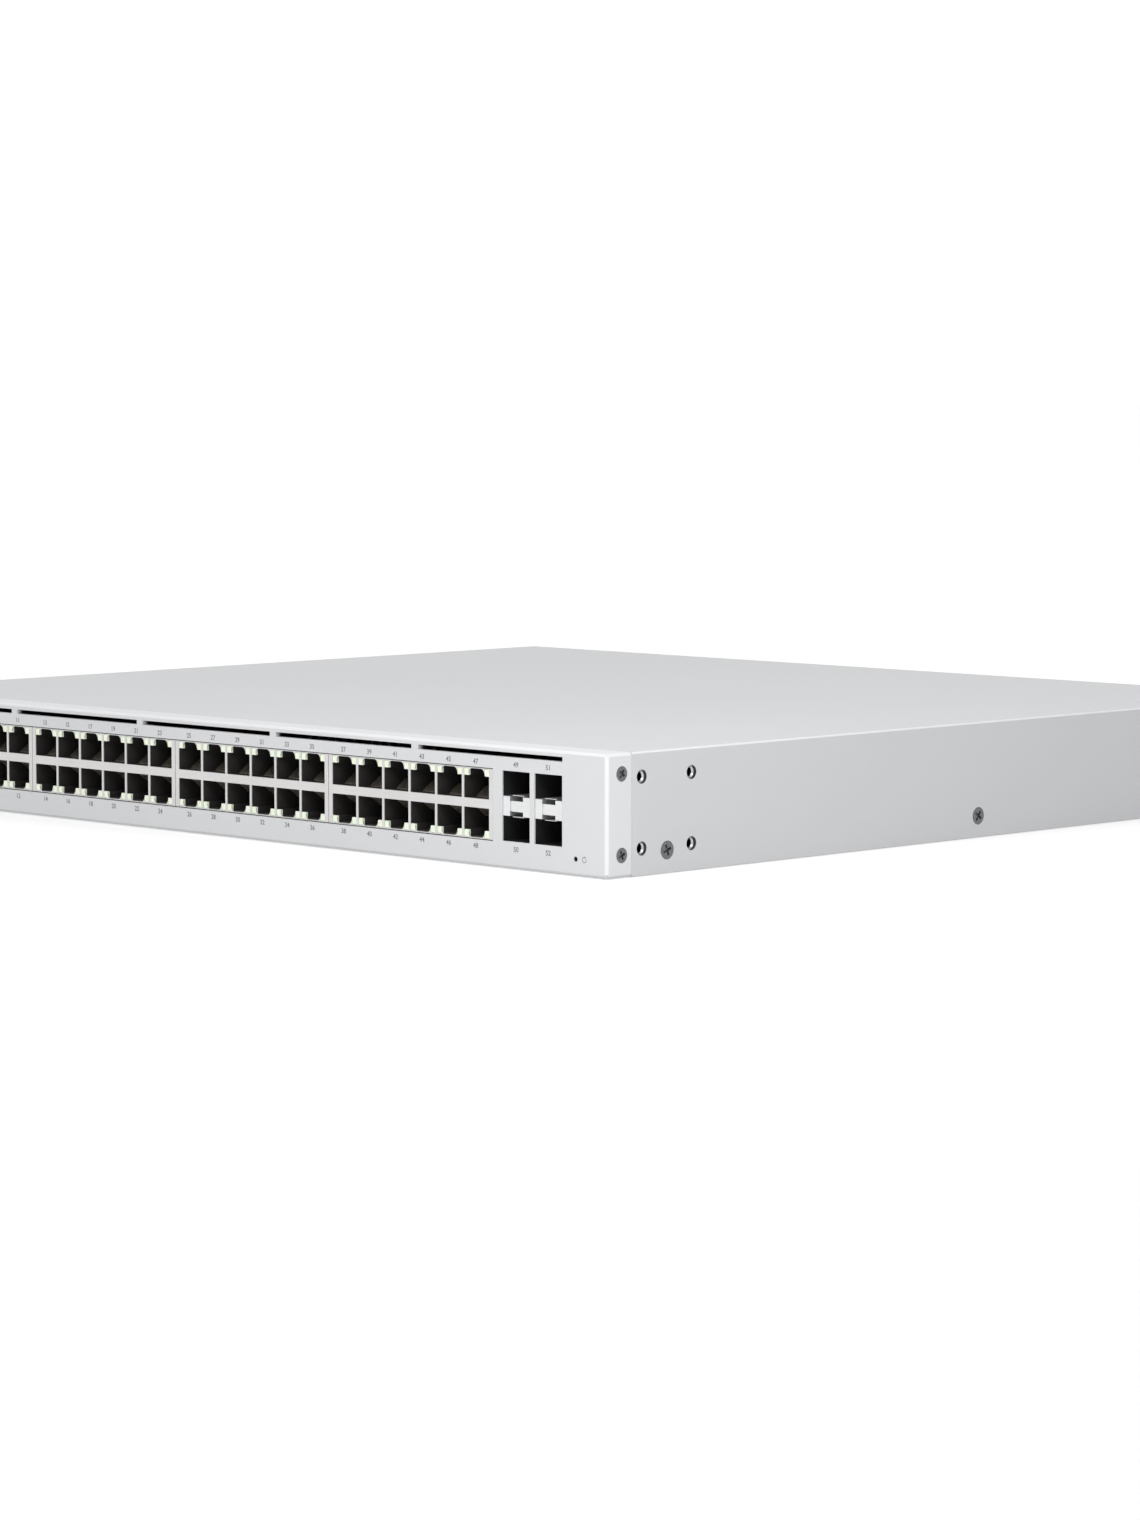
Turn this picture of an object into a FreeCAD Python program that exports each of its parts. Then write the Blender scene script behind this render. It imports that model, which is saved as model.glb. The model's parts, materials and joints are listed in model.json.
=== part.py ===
# A 1U rackmount network switch: 48 RJ45 ports in four gangs, four stacked SFP ports, a small
# status display, a reset button behind a pinhole, three exhaust fans and an internal power supply.
# Millimetres. Origin at the centre of the bottom face, +Z up, the front faces -Y, +X is to the
# right when looking at the front. Most places are given as a depth behind the front face.
import FreeCAD, Part
import math
import os

V = FreeCAD.Vector

# Overall size
WIDTH = 442.4
HEIGHT = 44.0
GLASS_PROUD = 0.2            # the display glass stands this far out of the front face
BODY_DEPTH = 399.6           # front face of the bezel to the rear edge of the cover
FRONT = -(BODY_DEPTH - GLASS_PROUD) / 2
HALF = WIDTH / 2

# Sheet metal and the front bezel
BEZEL_PLATE = 2.0
BEZEL_WALL = 1.5
BEZEL_DEPTH = 12.4
EDGE_R = 1.5
SEAM = 0.06
COVER_T = 1.2
COVER_EDGE_R = 0.9
TRAY_T = 1.2
FLANGE_T = 1.0
FLANGE_OUT = HALF - 1.55     # outer face of the tray's side flanges
FLANGE_TALL = 41.5
FLANGE_LOW = 18.0
TALL_FLANGE_DEPTH = 56.0
INNER_FRONT = (2.1, 3.1)     # depths of the sheet behind the bezel's plate
REAR_FACE = BODY_DEPTH - 3.0
REAR_T = 1.2

# Round marks under the tray, where stick-on feet go
FOOT_MARKS = [(x, d) for x in (-185.0, 185.0) for d in (36.0, 372.0)]
FOOT_MARK_R = 9.0
FOOT_MARK_DEPTH = 0.3

# RJ45 gangs, each two rows of six ports
GANGS = 4
GANG_PITCH = 87.8
GANG_W = 87.5
BLOCK_X = -11.75             # centre of the whole block of gangs
PORT_COLUMNS = 6
PORT_PITCH = 14.1
PORT_W = 13.0
PORT_Z = 22.43               # height of the middle of the ports
FACE_HALF = 12.72
BAND_HALF = 1.65             # half of the band between the two rows
PORT_FAR = 9.85              # far edge of a port's main opening, from the middle
NOTCH_HALF = 4.1
NOTCH_FAR = 12.1              # the cavity behind the notch ends here
NOTCH_WINDOW_FAR = 12.5
SKIN = 0.3                   # shield sheet
JACK_RECESS = 0.4
JACK_GAP = 0.35              # between the gangs and the window in the bezel
NOTCH_R = 2.0
CAVITY_DEPTH = 20.0
JACK_DEPTH = 33.0
LIGHT_FAR = 12.3
LIGHT_BACK = 1.5             # the light guides are thin windows in front of the housing

# Stacked SFP cage, two columns of two ports
SFP_X = 184.0
SFP_PITCH = 16.3
SFP_W = 13.9
SFP_Z = 22.5
SFP_BAND_HALF = 3.5
SFP_FAR = 12.6
SFP_WALL = 0.5
SFP_PLATE = 0.6              # the bezel is this thin in front of the cage
SFP_FRONT = 0.65
SFP_DIVIDER_FRONT = 0.3
SFP_NOTCH_RECESS = 0.35
SFP_DEPTH = 50.0
SFP_NOTCH_HALF = 3.3
SFP_NOTCH_Z = 1.9
SFP_NOTCH_PLATE = 0.5        # the face of the notch is a thin strip with a gap behind its edges
SFP_TAB_Z = 3.75             # near side of the latch tongues, from the middle
SFP_TAB_T = 0.2
SFP_TAB_FAR = 13.0           # depth where a tongue bends back to the divider
SFP_HALF_W = SFP_PITCH / 2 + SFP_W / 2 + SFP_WALL

# Air slots along the top of the bezel
SLOTS = 5
SLOT_LENGTH = 74.3
SLOT_PITCH = 77.8
SLOT_X = 6.5
SLOT_LOW, SLOT_HIGH = 40.0, 41.7

# Status display at the left end
DISPLAY_X = -203.9
DISPLAY_SIZE = 26.0
DISPLAY_R = 2.0

# Reset button behind its pinhole
RESET_X, RESET_Z = 205.9, 6.1
PINHOLE_R = 0.9
PLUNGER_R = 1.5
RESET_TRAVEL = 0.35

# Side fasteners: depth behind the front and height
BEZEL_SCREWS = [(7.5, 8.0), (7.5, 36.7)]
COVER_SCREWS = [(30.5, 8.2), (201.3, 8.2), (372.1, 8.2)]
REAR_SIDE_SCREWS = [(388.0, 12.0)]
SCREW_R = 1.5
SCREW_TAP_R = 1.55
BEZEL_HEAD_R = 2.6
COVER_HEAD_R = 3.2
HEAD_SLOPE = 0.75            # rise of a countersunk head for each millimetre of radius
EAR_DEPTH, EAR_Z, EAR_SPACING = 30.2, 22.4, 25.4
EAR_HOLE_R = 2.5
EAR_NECK_R = 2.7             # neck of the press nut, held in the tray's flange
THREAD_CORE_R = 1.65
THREAD_CHAMFER = 0.6
EAR_HOLES = [(EAR_DEPTH + a, EAR_Z + b)
             for a in (-EAR_SPACING / 2, EAR_SPACING / 2)
             for b in (-EAR_SPACING / 2, EAR_SPACING / 2)]

# Boards
BOARD_T = 1.6
BOARD_TOP = 9.4
BOARD_HALF_W = 212.0
BOARD_DEPTHS = (6.5, 190.0)
BOARD_HOLES = [(x, d) for x in (-206.0, -70.0, 70.0, 206.0) for d in (52.5, 182.0)]
PSU_X = (70.0, 212.0)
PSU_DEPTHS = (205.0, 366.0)
PSU_HOLES = [(x, d) for x in (75.0, 207.0) for d in (211.0, 360.0)]
STUD_R = 2.1                 # pressed end of a standoff, in the tray's bottom
PHY_X = [-165.0, -99.0, -33.0, 33.0, 99.0, 165.0]

# Fans, 40 mm square
FAN_X = [-150.0, -60.0, 30.0]
FAN_Z = 21.9
FAN_SIZE = 39.8
FAN_DEPTHS = (375.2, 395.2)
DUCT_R = 18.9
ROTOR_R = 18.3
HUB_R = 8.5
SHAFT_R = 1.5
SHAFT_GAP = 0.05
BLADES = 7
FAN_SCREW_SPACING = 32.0

# Mains inlet and the earthing screw beside it
GROUND_X, GROUND_Z = 118.0, 14.0
INLET_X, INLET_Z = 170.0, 22.0
INLET_BODY = (28.0, 20.5)
INLET_FLANGE = (50.0, 23.0)
INLET_CAVITY = (24.2, 16.2)
INLET_DEPTH = 16.5
INLET_BACK = 374.0
INLET_SCREW_SPACING = 40.0
PIN_LENGTH = 12.0

nodes = {}


def keep(name, *solids):
    """Adds solids to a node; several solids in one node stay separate."""
    nodes.setdefault(name, []).extend(solids)


def block(x0, x1, d0, d1, z0, z1):
    """A box between two depths behind the front face."""
    return Part.makeBox(x1 - x0, d1 - d0, z1 - z0, V(x0, FRONT + d0, z0))


def centred(x, d, z, w, l, h):
    """A box centred in X and depth, standing on height z."""
    return block(x - w / 2, x + w / 2, d - l / 2, d + l / 2, z, z + h)


def upright(x, d, z, r, h):
    return Part.makeCylinder(r, h, V(x, FRONT + d, z))


def along_depth(x, z, d0, d1, r):
    """A cylinder that runs from front to back."""
    return Part.makeCylinder(r, d1 - d0, V(x, FRONT + d0, z), V(0, 1, 0))


def fused(shapes):
    first, *rest = shapes
    return first.multiFuse(rest).removeSplitter() if rest else first


def without(shape, tools):
    return shape.cut(Part.makeCompound(tools))


def edges_where(shape, test):
    return [e for e in shape.Edges if test(e)]


def ends(edge):
    return [v.Point for v in edge.Vertexes]


def runs_along(edge, axis):
    a, b = ends(edge)
    return abs(abs((b - a).normalize().dot(axis)) - 1) < 1e-6


def outward_frame(x, d, z, outward):
    """Placement that puts local +Z along outward at a point."""
    return FreeCAD.Placement(V(x, FRONT + d, z), FreeCAD.Rotation(V(0, 0, 1), outward))


def placed(shape, x, d, z, outward, turn=0):
    """Copy of a shape made along local Z, turned about it and set facing outward."""
    copy = shape.copy()
    copy.rotate(V(0, 0, 0), V(0, 0, 1), turn)
    copy.Placement = outward_frame(x, d, z, outward).multiply(copy.Placement)
    return copy


def cross_recess(size, depth, top):
    wide = 0.95
    arms = [Part.makeBox(size, wide, depth, V(-size / 2, -wide / 2, top - depth)),
            Part.makeBox(wide, size, depth, V(-wide / 2, -size / 2, top - depth))]
    return Part.makeCompound(arms)


def flat_screw(head_r, shank_r, length):
    """Countersunk screw, its flat head's top at local Z = 0, its shank along -Z."""
    cone = (head_r - shank_r) * HEAD_SLOPE
    rim = 0.25
    body = fused([Part.makeCylinder(head_r, rim, V(0, 0, -rim)),
                  Part.makeCone(shank_r, head_r, cone, V(0, 0, -rim - cone)),
                  Part.makeCylinder(shank_r, length, V(0, 0, -length))])
    return without(body, [cross_recess(head_r * 1.25, 0.9, 0)])


def flat_screw_hole(head_r, shank_r, length, gap=0.12):
    cone = (head_r - shank_r) * HEAD_SLOPE
    rim = 0.25 + gap
    return fused([Part.makeCylinder(head_r + gap, rim + 1, V(0, 0, -rim)),
                  Part.makeCone(shank_r + gap, head_r + gap, cone, V(0, 0, -rim - cone)),
                  Part.makeCylinder(shank_r + gap, length, V(0, 0, -length))])


def pan_screw(head_r, head_h, shank_r, length):
    """Pan-head screw seated at local Z = 0."""
    head = Part.makeCylinder(head_r, head_h)
    top = edges_where(head, lambda e: e.BoundBox.ZMin > head_h - 1e-3)
    head = head.makeFillet(head_h * 0.45, top)
    body = fused([head, Part.makeCylinder(shank_r, length, V(0, 0, -length))])
    return without(body, [cross_recess(head_r * 1.1, head_h * 0.6, head_h)])


def hexagon(across_flats, height, base):
    r = across_flats / math.sqrt(3)
    points = [V(r * math.cos(math.radians(60 * i)), r * math.sin(math.radians(60 * i)), base)
              for i in range(7)]
    return Part.Face(Part.makePolygon(points)).extrude(V(0, 0, height))


def bent_tube(points, r, bend):
    """A round lead along straight runs joined by tangent arcs."""
    pieces, at = [], points[0]
    for before, corner, after in zip(points, points[1:], points[2:]):
        into, out = (corner - before).normalize(), (after - corner).normalize()
        turn = into.getAngle(out)
        trim = bend * math.tan(turn / 2)
        start, end = corner - into * trim, corner + out * trim
        inward = (out - into).normalize()
        middle = corner + inward * (bend / math.cos(turn / 2) - bend)
        pieces.append(Part.LineSegment(at, start).toShape())
        pieces.append(Part.Arc(start, middle, end).toShape())
        at = end
    pieces.append(Part.LineSegment(at, points[-1]).toShape())
    first = (points[1] - points[0]).normalize()
    ring = Part.Wire(Part.makeCircle(r, points[0], first))
    return Part.Wire(pieces).makePipeShell([ring], True, False)


def point(x, d, z):
    return V(x, FRONT + d, z)


# Outer shell

def side_fastener_holes(tool, places):
    """The same hole on the right and on the left side."""
    return [placed(tool, side * HALF, d, z, V(side, 0, 0)) for side in (1, -1) for d, z in places]


def slot_cutters(d0, d1, margin=0.0):
    cutters = []
    for i in range(SLOTS):
        x = SLOT_X + (i - (SLOTS - 1) / 2) * SLOT_PITCH
        half = SLOT_LENGTH / 2 + margin
        cutters.append(block(x - half, x + half, d0, d1, SLOT_LOW - margin, SLOT_HIGH + margin))
    return cutters


def jack_window(d0, d1, margin):
    half = (GANGS - 1) / 2 * GANG_PITCH + GANG_W / 2 + margin
    z0, z1 = PORT_Z - FACE_HALF - margin, PORT_Z + FACE_HALF + margin
    return block(BLOCK_X - half, BLOCK_X + half, d0, d1, z0, z1)


def sfp_window(d0, d1, margin):
    half, tall = SFP_HALF_W + margin, SFP_FAR + SFP_WALL + margin
    return block(SFP_X - half, SFP_X + half, d0, d1, SFP_Z - tall, SFP_Z + tall)


def sfp_columns():
    return (SFP_X - SFP_PITCH / 2, SFP_X + SFP_PITCH / 2)


def rounded_square(x, z, size, d0, d1, radius):
    square = block(x - size / 2, x + size / 2, d0, d1, z - size / 2, z + size / 2)
    return square.makeFillet(radius, edges_where(square, lambda e: runs_along(e, V(0, 1, 0))))


def make_front_bezel():
    outer = block(-HALF, HALF, 0, BEZEL_DEPTH, 0, HEIGHT)
    rounded = edges_where(outer, lambda e: runs_along(e, V(0, 1, 0))
                          or all(abs(p.y - FRONT) < 1e-6 for p in ends(e)))
    outer = outer.makeFillet(EDGE_R, rounded)
    inside = block(-HALF + BEZEL_WALL, HALF - BEZEL_WALL, BEZEL_PLATE, BEZEL_DEPTH + 1,
                   BEZEL_WALL, HEIGHT - BEZEL_WALL)
    screw_hole = flat_screw_hole(BEZEL_HEAD_R, SCREW_R, 8)
    half, tall = SFP_W / 2, SFP_FAR
    through = [jack_window(-1, 3, JACK_GAP), inside, sfp_window(SFP_PLATE, 3, 0.1),
               rounded_square(DISPLAY_X, PORT_Z, DISPLAY_SIZE + 0.3, -1, 3, DISPLAY_R + 0.15),
               along_depth(RESET_X, RESET_Z, -1, 3, PINHOLE_R)]
    through += [block(x - half, x + half, -1, 3, SFP_Z - tall, SFP_Z + tall) for x in sfp_columns()]
    through += slot_cutters(-1, 3)
    through += side_fastener_holes(screw_hole, BEZEL_SCREWS)
    keep("front_bezel", without(outer, through))


def make_top_cover():
    d0 = BEZEL_DEPTH + SEAM
    outer = block(-HALF, HALF, d0, BODY_DEPTH, SEAM, HEIGHT)
    bends = edges_where(outer, lambda e: runs_along(e, V(0, 1, 0)) and ends(e)[0].z > HEIGHT / 2)
    outer = outer.makeFillet(COVER_EDGE_R, bends)
    inside = block(-HALF + COVER_T, HALF - COVER_T, d0 - 1, BODY_DEPTH + 1,
                   -1, HEIGHT - COVER_T)
    holes = side_fastener_holes(flat_screw_hole(COVER_HEAD_R, SCREW_R, 8), COVER_SCREWS)
    ear_hole = Part.makeCylinder(EAR_HOLE_R, 6, V(0, 0, -3))
    holes += side_fastener_holes(ear_hole, EAR_HOLES)
    keep("top_cover", without(outer, [inside] + holes))


def make_base_tray():
    step = BEZEL_DEPTH + SEAM
    shelf = BEZEL_WALL + 0.1
    inner = FLANGE_OUT - FLANGE_T
    sheets = [block(-FLANGE_OUT, FLANGE_OUT, step, BODY_DEPTH, 0, TRAY_T),
              block(-FLANGE_OUT, FLANGE_OUT, step, step + TRAY_T, 0, shelf + TRAY_T),
              block(-FLANGE_OUT, FLANGE_OUT, INNER_FRONT[0], step + TRAY_T, shelf, shelf + TRAY_T)]
    for x0, x1 in ((-FLANGE_OUT, -inner), (inner, FLANGE_OUT)):
        sheets.append(block(x0, x1, step, REAR_FACE, 0, FLANGE_LOW))
        sheets.append(block(x0, x1, INNER_FRONT[0], TALL_FLANGE_DEPTH, shelf, FLANGE_TALL))
    tray = fused(sheets)
    neck_hole = Part.makeCylinder(EAR_NECK_R + 0.02, 8, V(0, 0, -6))
    screw_hole = Part.makeCylinder(SCREW_TAP_R, 8, V(0, 0, -6))
    cuts = side_fastener_holes(neck_hole, EAR_HOLES)
    cuts += side_fastener_holes(screw_hole, BEZEL_SCREWS + COVER_SCREWS + REAR_SIDE_SCREWS)
    cuts += [upright(x, d, -1, STUD_R + 0.02, TRAY_T + 1.5) for x, d in BOARD_HOLES + PSU_HOLES]
    cuts += [upright(x, d, -1, FOOT_MARK_R, 1 + FOOT_MARK_DEPTH) for x, d in FOOT_MARKS]
    keep("base_tray", without(tray, cuts))


def make_inner_front():
    """Sheet behind the bezel that carries the gangs, the SFP cage and the display."""
    half_w = FLANGE_OUT - FLANGE_T - 0.05
    d0, d1 = INNER_FRONT
    sheet = block(-half_w, half_w, d0, d1, BEZEL_WALL + 0.1 + TRAY_T, FLANGE_TALL)
    half = DISPLAY_SIZE / 2 + 2
    cuts = [jack_window(d0 - 1, d1 + 1, 0.4), sfp_window(d0 - 1, d1 + 1, 0.4),
            along_depth(RESET_X, RESET_Z, d0 - 1, d1 + 1, 1.8),
            block(DISPLAY_X - half, DISPLAY_X + half, d0 - 1, d1 + 1, PORT_Z - half, PORT_Z + half)]
    keep("inner_front", without(sheet, cuts + slot_cutters(d0 - 1, d1 + 1, 0.6)))


def make_rear_panel():
    half = FLANGE_OUT - FLANGE_T - 0.1
    inner = REAR_FACE - REAR_T
    lip = 1.0
    top = HEIGHT - COVER_T - 0.3
    sheets = [block(-half, half, inner, REAR_FACE, TRAY_T + 0.05, top),
              block(-FLANGE_OUT, FLANGE_OUT, inner, REAR_FACE, FLANGE_LOW + 0.2, top)]
    for x0, x1 in ((-half, -half + lip), (half - lip, half)):
        sheets.append(block(x0, x1, inner - 14, REAR_FACE, TRAY_T + 0.05, 40.0))
    panel = fused(sheets)
    cuts = [along_depth(x, FAN_Z, inner - 1, REAR_FACE + 1, DUCT_R) for x in FAN_X]
    cuts += [along_depth(x, z, inner - 1, REAR_FACE + 1, 2.1) for x, z in fan_screw_places()]
    w, h = INLET_BODY[0] + 0.4, INLET_BODY[1] + 0.4
    cuts.append(block(INLET_X - w / 2, INLET_X + w / 2, inner - 1, REAR_FACE + 1,
                      INLET_Z - h / 2, INLET_Z + h / 2))
    cuts += [along_depth(x, INLET_Z, inner - 1, REAR_FACE + 1, 1.6) for x in inlet_screw_x()]
    cuts.append(along_depth(GROUND_X, GROUND_Z, inner - 1, REAR_FACE + 1, 2.05))
    screw_hole = Part.makeCylinder(SCREW_TAP_R, 8, V(0, 0, -6))
    cuts += side_fastener_holes(screw_hole, REAR_SIDE_SCREWS)
    keep("rear_panel", without(panel, cuts))


def press_nut():
    """Press nut behind a rack-ear hole, placed from the cover's outer face along -Z."""
    mouth = -COVER_T - 0.1
    nut = fused([hexagon(7.0, 3.0, -5.65), Part.makeCylinder(EAR_NECK_R, 1.4, V(0, 0, mouth - 1.4))])
    bore = Part.makeCylinder(THREAD_CORE_R, 8, V(0, 0, -7))
    flare = Part.makeCone(THREAD_CORE_R, THREAD_CORE_R + THREAD_CHAMFER, THREAD_CHAMFER,
                          V(0, 0, mouth - THREAD_CHAMFER))
    return without(nut, [fused([bore, flare])])


def turned_cross(k):
    """Angle of a screw's cross, so that neighbouring screws don't stand alike."""
    return 20 + 35 * k


def make_shell_fasteners():
    for side in (1, -1):
        out = V(side, 0, 0)
        for k, (d, z) in enumerate(BEZEL_SCREWS):
            screw = flat_screw(BEZEL_HEAD_R, SCREW_R, 5.5)
            keep("bezel_screws", placed(screw, side * HALF, d, z, out, turned_cross(k)))
        for k, (d, z) in enumerate(COVER_SCREWS):
            screw = flat_screw(COVER_HEAD_R, SCREW_R, 5.5)
            keep("cover_screws", placed(screw, side * HALF, d, z, out, turned_cross(k)))
        for d, z in EAR_HOLES:
            keep("ear_nuts", placed(press_nut(), side * HALF, d, z, out))
        for d, z in REAR_SIDE_SCREWS:
            screw = pan_screw(2.2, 0.25, SCREW_R, 2.6)
            keep("rear_screws", placed(screw, side * FLANGE_OUT, d, z, out))
    ground = pan_screw(4.0, 2.2, 2.0, 6.0)
    keep("ground_screw", placed(ground, GROUND_X, REAR_FACE, GROUND_Z, V(0, 1, 0)))


# RJ45 gangs

def port_xs(centre):
    return [centre + (i - (PORT_COLUMNS - 1) / 2) * PORT_PITCH for i in range(PORT_COLUMNS)]


def span(row, a, b):
    """Heights a and b from the middle of the ports, upwards or downwards."""
    return tuple(sorted((PORT_Z + row * a, PORT_Z + row * b)))


def light_places(x):
    """Left and right ends of the two light guides of a port."""
    return [(x - PORT_W / 2, x - NOTCH_HALF), (x + NOTCH_HALF, x + PORT_W / 2)]


def port_window(x, row):
    """Main opening, two openings for the light guides and the round-ended latch notch."""
    d0, d1 = JACK_RECESS - 0.1, JACK_RECESS + SKIN + 0.1
    end = PORT_Z + row * NOTCH_WINDOW_FAR
    latch = block(x - NOTCH_HALF, x + NOTCH_HALF, d0, d1, *span(row, BAND_HALF, NOTCH_WINDOW_FAR))
    corners = edges_where(latch, lambda e: runs_along(e, V(0, 1, 0))
                          and abs(ends(e)[0].z - end) < 1e-6)
    openings = [latch.makeFillet(NOTCH_R, corners),
                block(x - PORT_W / 2, x + PORT_W / 2, d0, d1, *span(row, BAND_HALF, PORT_FAR))]
    for x0, x1 in light_places(x):
        openings.append(block(x0, x1, d0, d1, *span(row, PORT_FAR, LIGHT_FAR + 0.1)))
    return fused(openings)


def jack_shield(centre):
    half = GANG_W / 2
    z0, z1 = PORT_Z - FACE_HALF, PORT_Z + FACE_HALF
    can = block(centre - half, centre + half, JACK_RECESS, JACK_DEPTH, z0, z1)
    inside = block(centre - half + SKIN, centre + half - SKIN, JACK_RECESS + SKIN,
                   JACK_DEPTH - SKIN, z0 + SKIN, z1 - SKIN)
    windows = [port_window(x, row) for x in port_xs(centre) for row in (1, -1)]
    return without(can, [inside] + windows)


def jack_housing(centre):
    """Plastic walls between the ports, each a plain block so that every port stays open."""
    front = JACK_RECESS + SKIN
    inner_half = GANG_W / 2 - SKIN
    wall_half = (PORT_PITCH - PORT_W) / 2
    solids = []
    for j in range(PORT_COLUMNS + 1):
        x = (j - PORT_COLUMNS / 2) * PORT_PITCH
        x0 = -inner_half if j == 0 else x - wall_half
        x1 = inner_half if j == PORT_COLUMNS else x + wall_half
        solids.append(block(centre + x0, centre + x1, front, CAVITY_DEPTH,
                            *span(1, -NOTCH_FAR, NOTCH_FAR)))
    for x in port_xs(centre):
        solids.append(block(x - PORT_W / 2, x + PORT_W / 2, front, CAVITY_DEPTH,
                            *span(1, -BAND_HALF, BAND_HALF)))
        solids += [block(x0, x1, LIGHT_BACK, CAVITY_DEPTH, *span(row, PORT_FAR, NOTCH_FAR))
                   for x0, x1 in light_places(x) for row in (1, -1)]
    for row in (1, -1):
        solids.append(block(centre - inner_half, centre + inner_half, LIGHT_BACK, CAVITY_DEPTH,
                            *span(row, NOTCH_FAR, FACE_HALF - SKIN)))
    solids.append(block(centre - inner_half, centre + inner_half, CAVITY_DEPTH, JACK_DEPTH - SKIN,
                        *span(1, -FACE_HALF + SKIN, FACE_HALF - SKIN)))
    return solids


def jack_lights(centre):
    """Two thin light guides in the far corners of each port."""
    gap = 0.1
    return [block(x0 + gap, x1 - gap, JACK_RECESS + 0.1, LIGHT_BACK, *span(row, PORT_FAR, LIGHT_FAR))
            for x in port_xs(centre) for x0, x1 in light_places(x) for row in (1, -1)]


def contact_comb(x, row):
    """Eight sprung contacts, bent up and back from the mouth, joined at their carrier strip."""
    pitch, wide, thick = 1.02, 0.5, 0.3
    near, far = BAND_HALF + 0.15, BAND_HALF + 3.5
    start, bend, back = 4.2, 8.8, 17.5
    solids = [block(x - 4, x + 4, back - 0.1, back + 0.3, *span(row, BAND_HALF + 0.02, far + thick))]
    for i in range(8):
        x0 = x + (i - 3.5) * pitch - wide / 2
        profile = [(start, near), (bend, far), (back, far), (back, far + thick),
                   (bend - thick / 2, far + thick), (start, near + thick)]
        corners = [point(x0, d, PORT_Z + row * h) for d, h in profile]
        face = Part.Face(Part.makePolygon(corners + corners[:1]))
        solids.append(face.extrude(V(wide, 0, 0)))
    return fused(solids)


def make_jacks():
    for k in range(GANGS):
        centre = BLOCK_X + (k - (GANGS - 1) / 2) * GANG_PITCH
        keep("jack_shield_%d" % (k + 1), jack_shield(centre))
        keep("jack_housing_%d" % (k + 1), *jack_housing(centre))
        keep("jack_lights", *jack_lights(centre))
        keep("jack_contacts", *[contact_comb(x, row) for x in port_xs(centre) for row in (1, -1)])


# SFP cage

def make_sfp():
    left, right = SFP_X - SFP_HALF_W, SFP_X + SFP_HALF_W
    inner = (left + SFP_WALL, right - SFP_WALL)
    d0, d1 = SFP_FRONT, SFP_DEPTH
    z0, z1 = SFP_Z - SFP_FAR, SFP_Z + SFP_FAR
    middle = SFP_PITCH / 2 - SFP_W / 2
    keep("sfp_cage",
         block(left, left + SFP_WALL, d0, d1, z0 - SFP_WALL, z1 + SFP_WALL),
         block(right - SFP_WALL, right, d0, d1, z0 - SFP_WALL, z1 + SFP_WALL),
         block(SFP_X - middle, SFP_X + middle, d0, d1, z0, z1),
         block(*inner, d0, d1, z1, z1 + SFP_WALL),
         block(*inner, d0, d1, z0 - SFP_WALL, z0),
         block(*inner, d1, d1 + SFP_WALL, z0 - SFP_WALL, z1 + SFP_WALL))
    gap, lip = 0.05, SFP_DIVIDER_FRONT
    recess = lip + SFP_NOTCH_RECESS
    for x in sfp_columns():
        band = (SFP_Z - SFP_BAND_HALF, SFP_Z + SFP_BAND_HALF)
        keep("sfp_divider",
             block(x - SFP_W / 2 + gap, x - SFP_NOTCH_HALF, lip, d1, *band),
             block(x + SFP_NOTCH_HALF, x + SFP_W / 2 - gap, lip, d1, *band),
             block(x - SFP_NOTCH_HALF, x + SFP_NOTCH_HALF, recess, recess + SFP_NOTCH_PLATE,
                   SFP_Z - SFP_NOTCH_Z, SFP_Z + SFP_NOTCH_Z),
             block(x - SFP_NOTCH_HALF, x + SFP_NOTCH_HALF, recess + SFP_NOTCH_PLATE, d1,
                   SFP_Z - SFP_NOTCH_Z / 2, SFP_Z + SFP_NOTCH_Z / 2))
        for row in (1, -1):
            tab = sorted((SFP_Z + row * SFP_TAB_Z, SFP_Z + row * (SFP_TAB_Z + SFP_TAB_T)))
            foot = sorted((SFP_Z + row * SFP_NOTCH_Z / 2, SFP_Z + row * SFP_TAB_Z))
            x0, x1 = x - SFP_NOTCH_HALF + 0.4, x + SFP_NOTCH_HALF - 0.4
            keep("sfp_latch_tabs",
                 fused([block(x0, x1, 1.3, SFP_TAB_FAR, *tab),
                        block(x0, x1, SFP_TAB_FAR - SFP_TAB_T, SFP_TAB_FAR, *foot)]))
            low = SFP_Z + row * 7.8 - 2.7
            host = block(x - 5.8, x + 5.8, 39.0, SFP_DEPTH, low, low + 5.4)
            slot = block(x - 4.9, x + 4.9, 38.0, 46.0, low + 2.1, low + 3.3)
            keep("sfp_connectors", host.cut(slot))


# Status display and reset button

def make_display():
    size = DISPLAY_SIZE
    keep("display_glass",
         rounded_square(DISPLAY_X, PORT_Z, size, -GLASS_PROUD, 1.0, DISPLAY_R))
    keep("display_module",
         block(DISPLAY_X - size / 2 + 1, DISPLAY_X + size / 2 - 1, 1.1, 3.9,
               PORT_Z - size / 2 + 1, PORT_Z + size / 2 - 1))
    half = DISPLAY_SIZE / 2 + 1.5
    holder = block(DISPLAY_X - half, DISPLAY_X + half, 2.05, 6.0, PORT_Z - half, PORT_Z + half)
    pocket = block(DISPLAY_X - size / 2 + 0.8, DISPLAY_X + size / 2 - 0.8, 1, 4.2,
                   PORT_Z - size / 2 + 0.8, PORT_Z + size / 2 - 0.8)
    ribbon_way = block(DISPLAY_X - 5, DISPLAY_X + 5, 4, 7, PORT_Z - 9, PORT_Z - 5)
    keep("display_holder", without(holder, [pocket, ribbon_way]))


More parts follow.
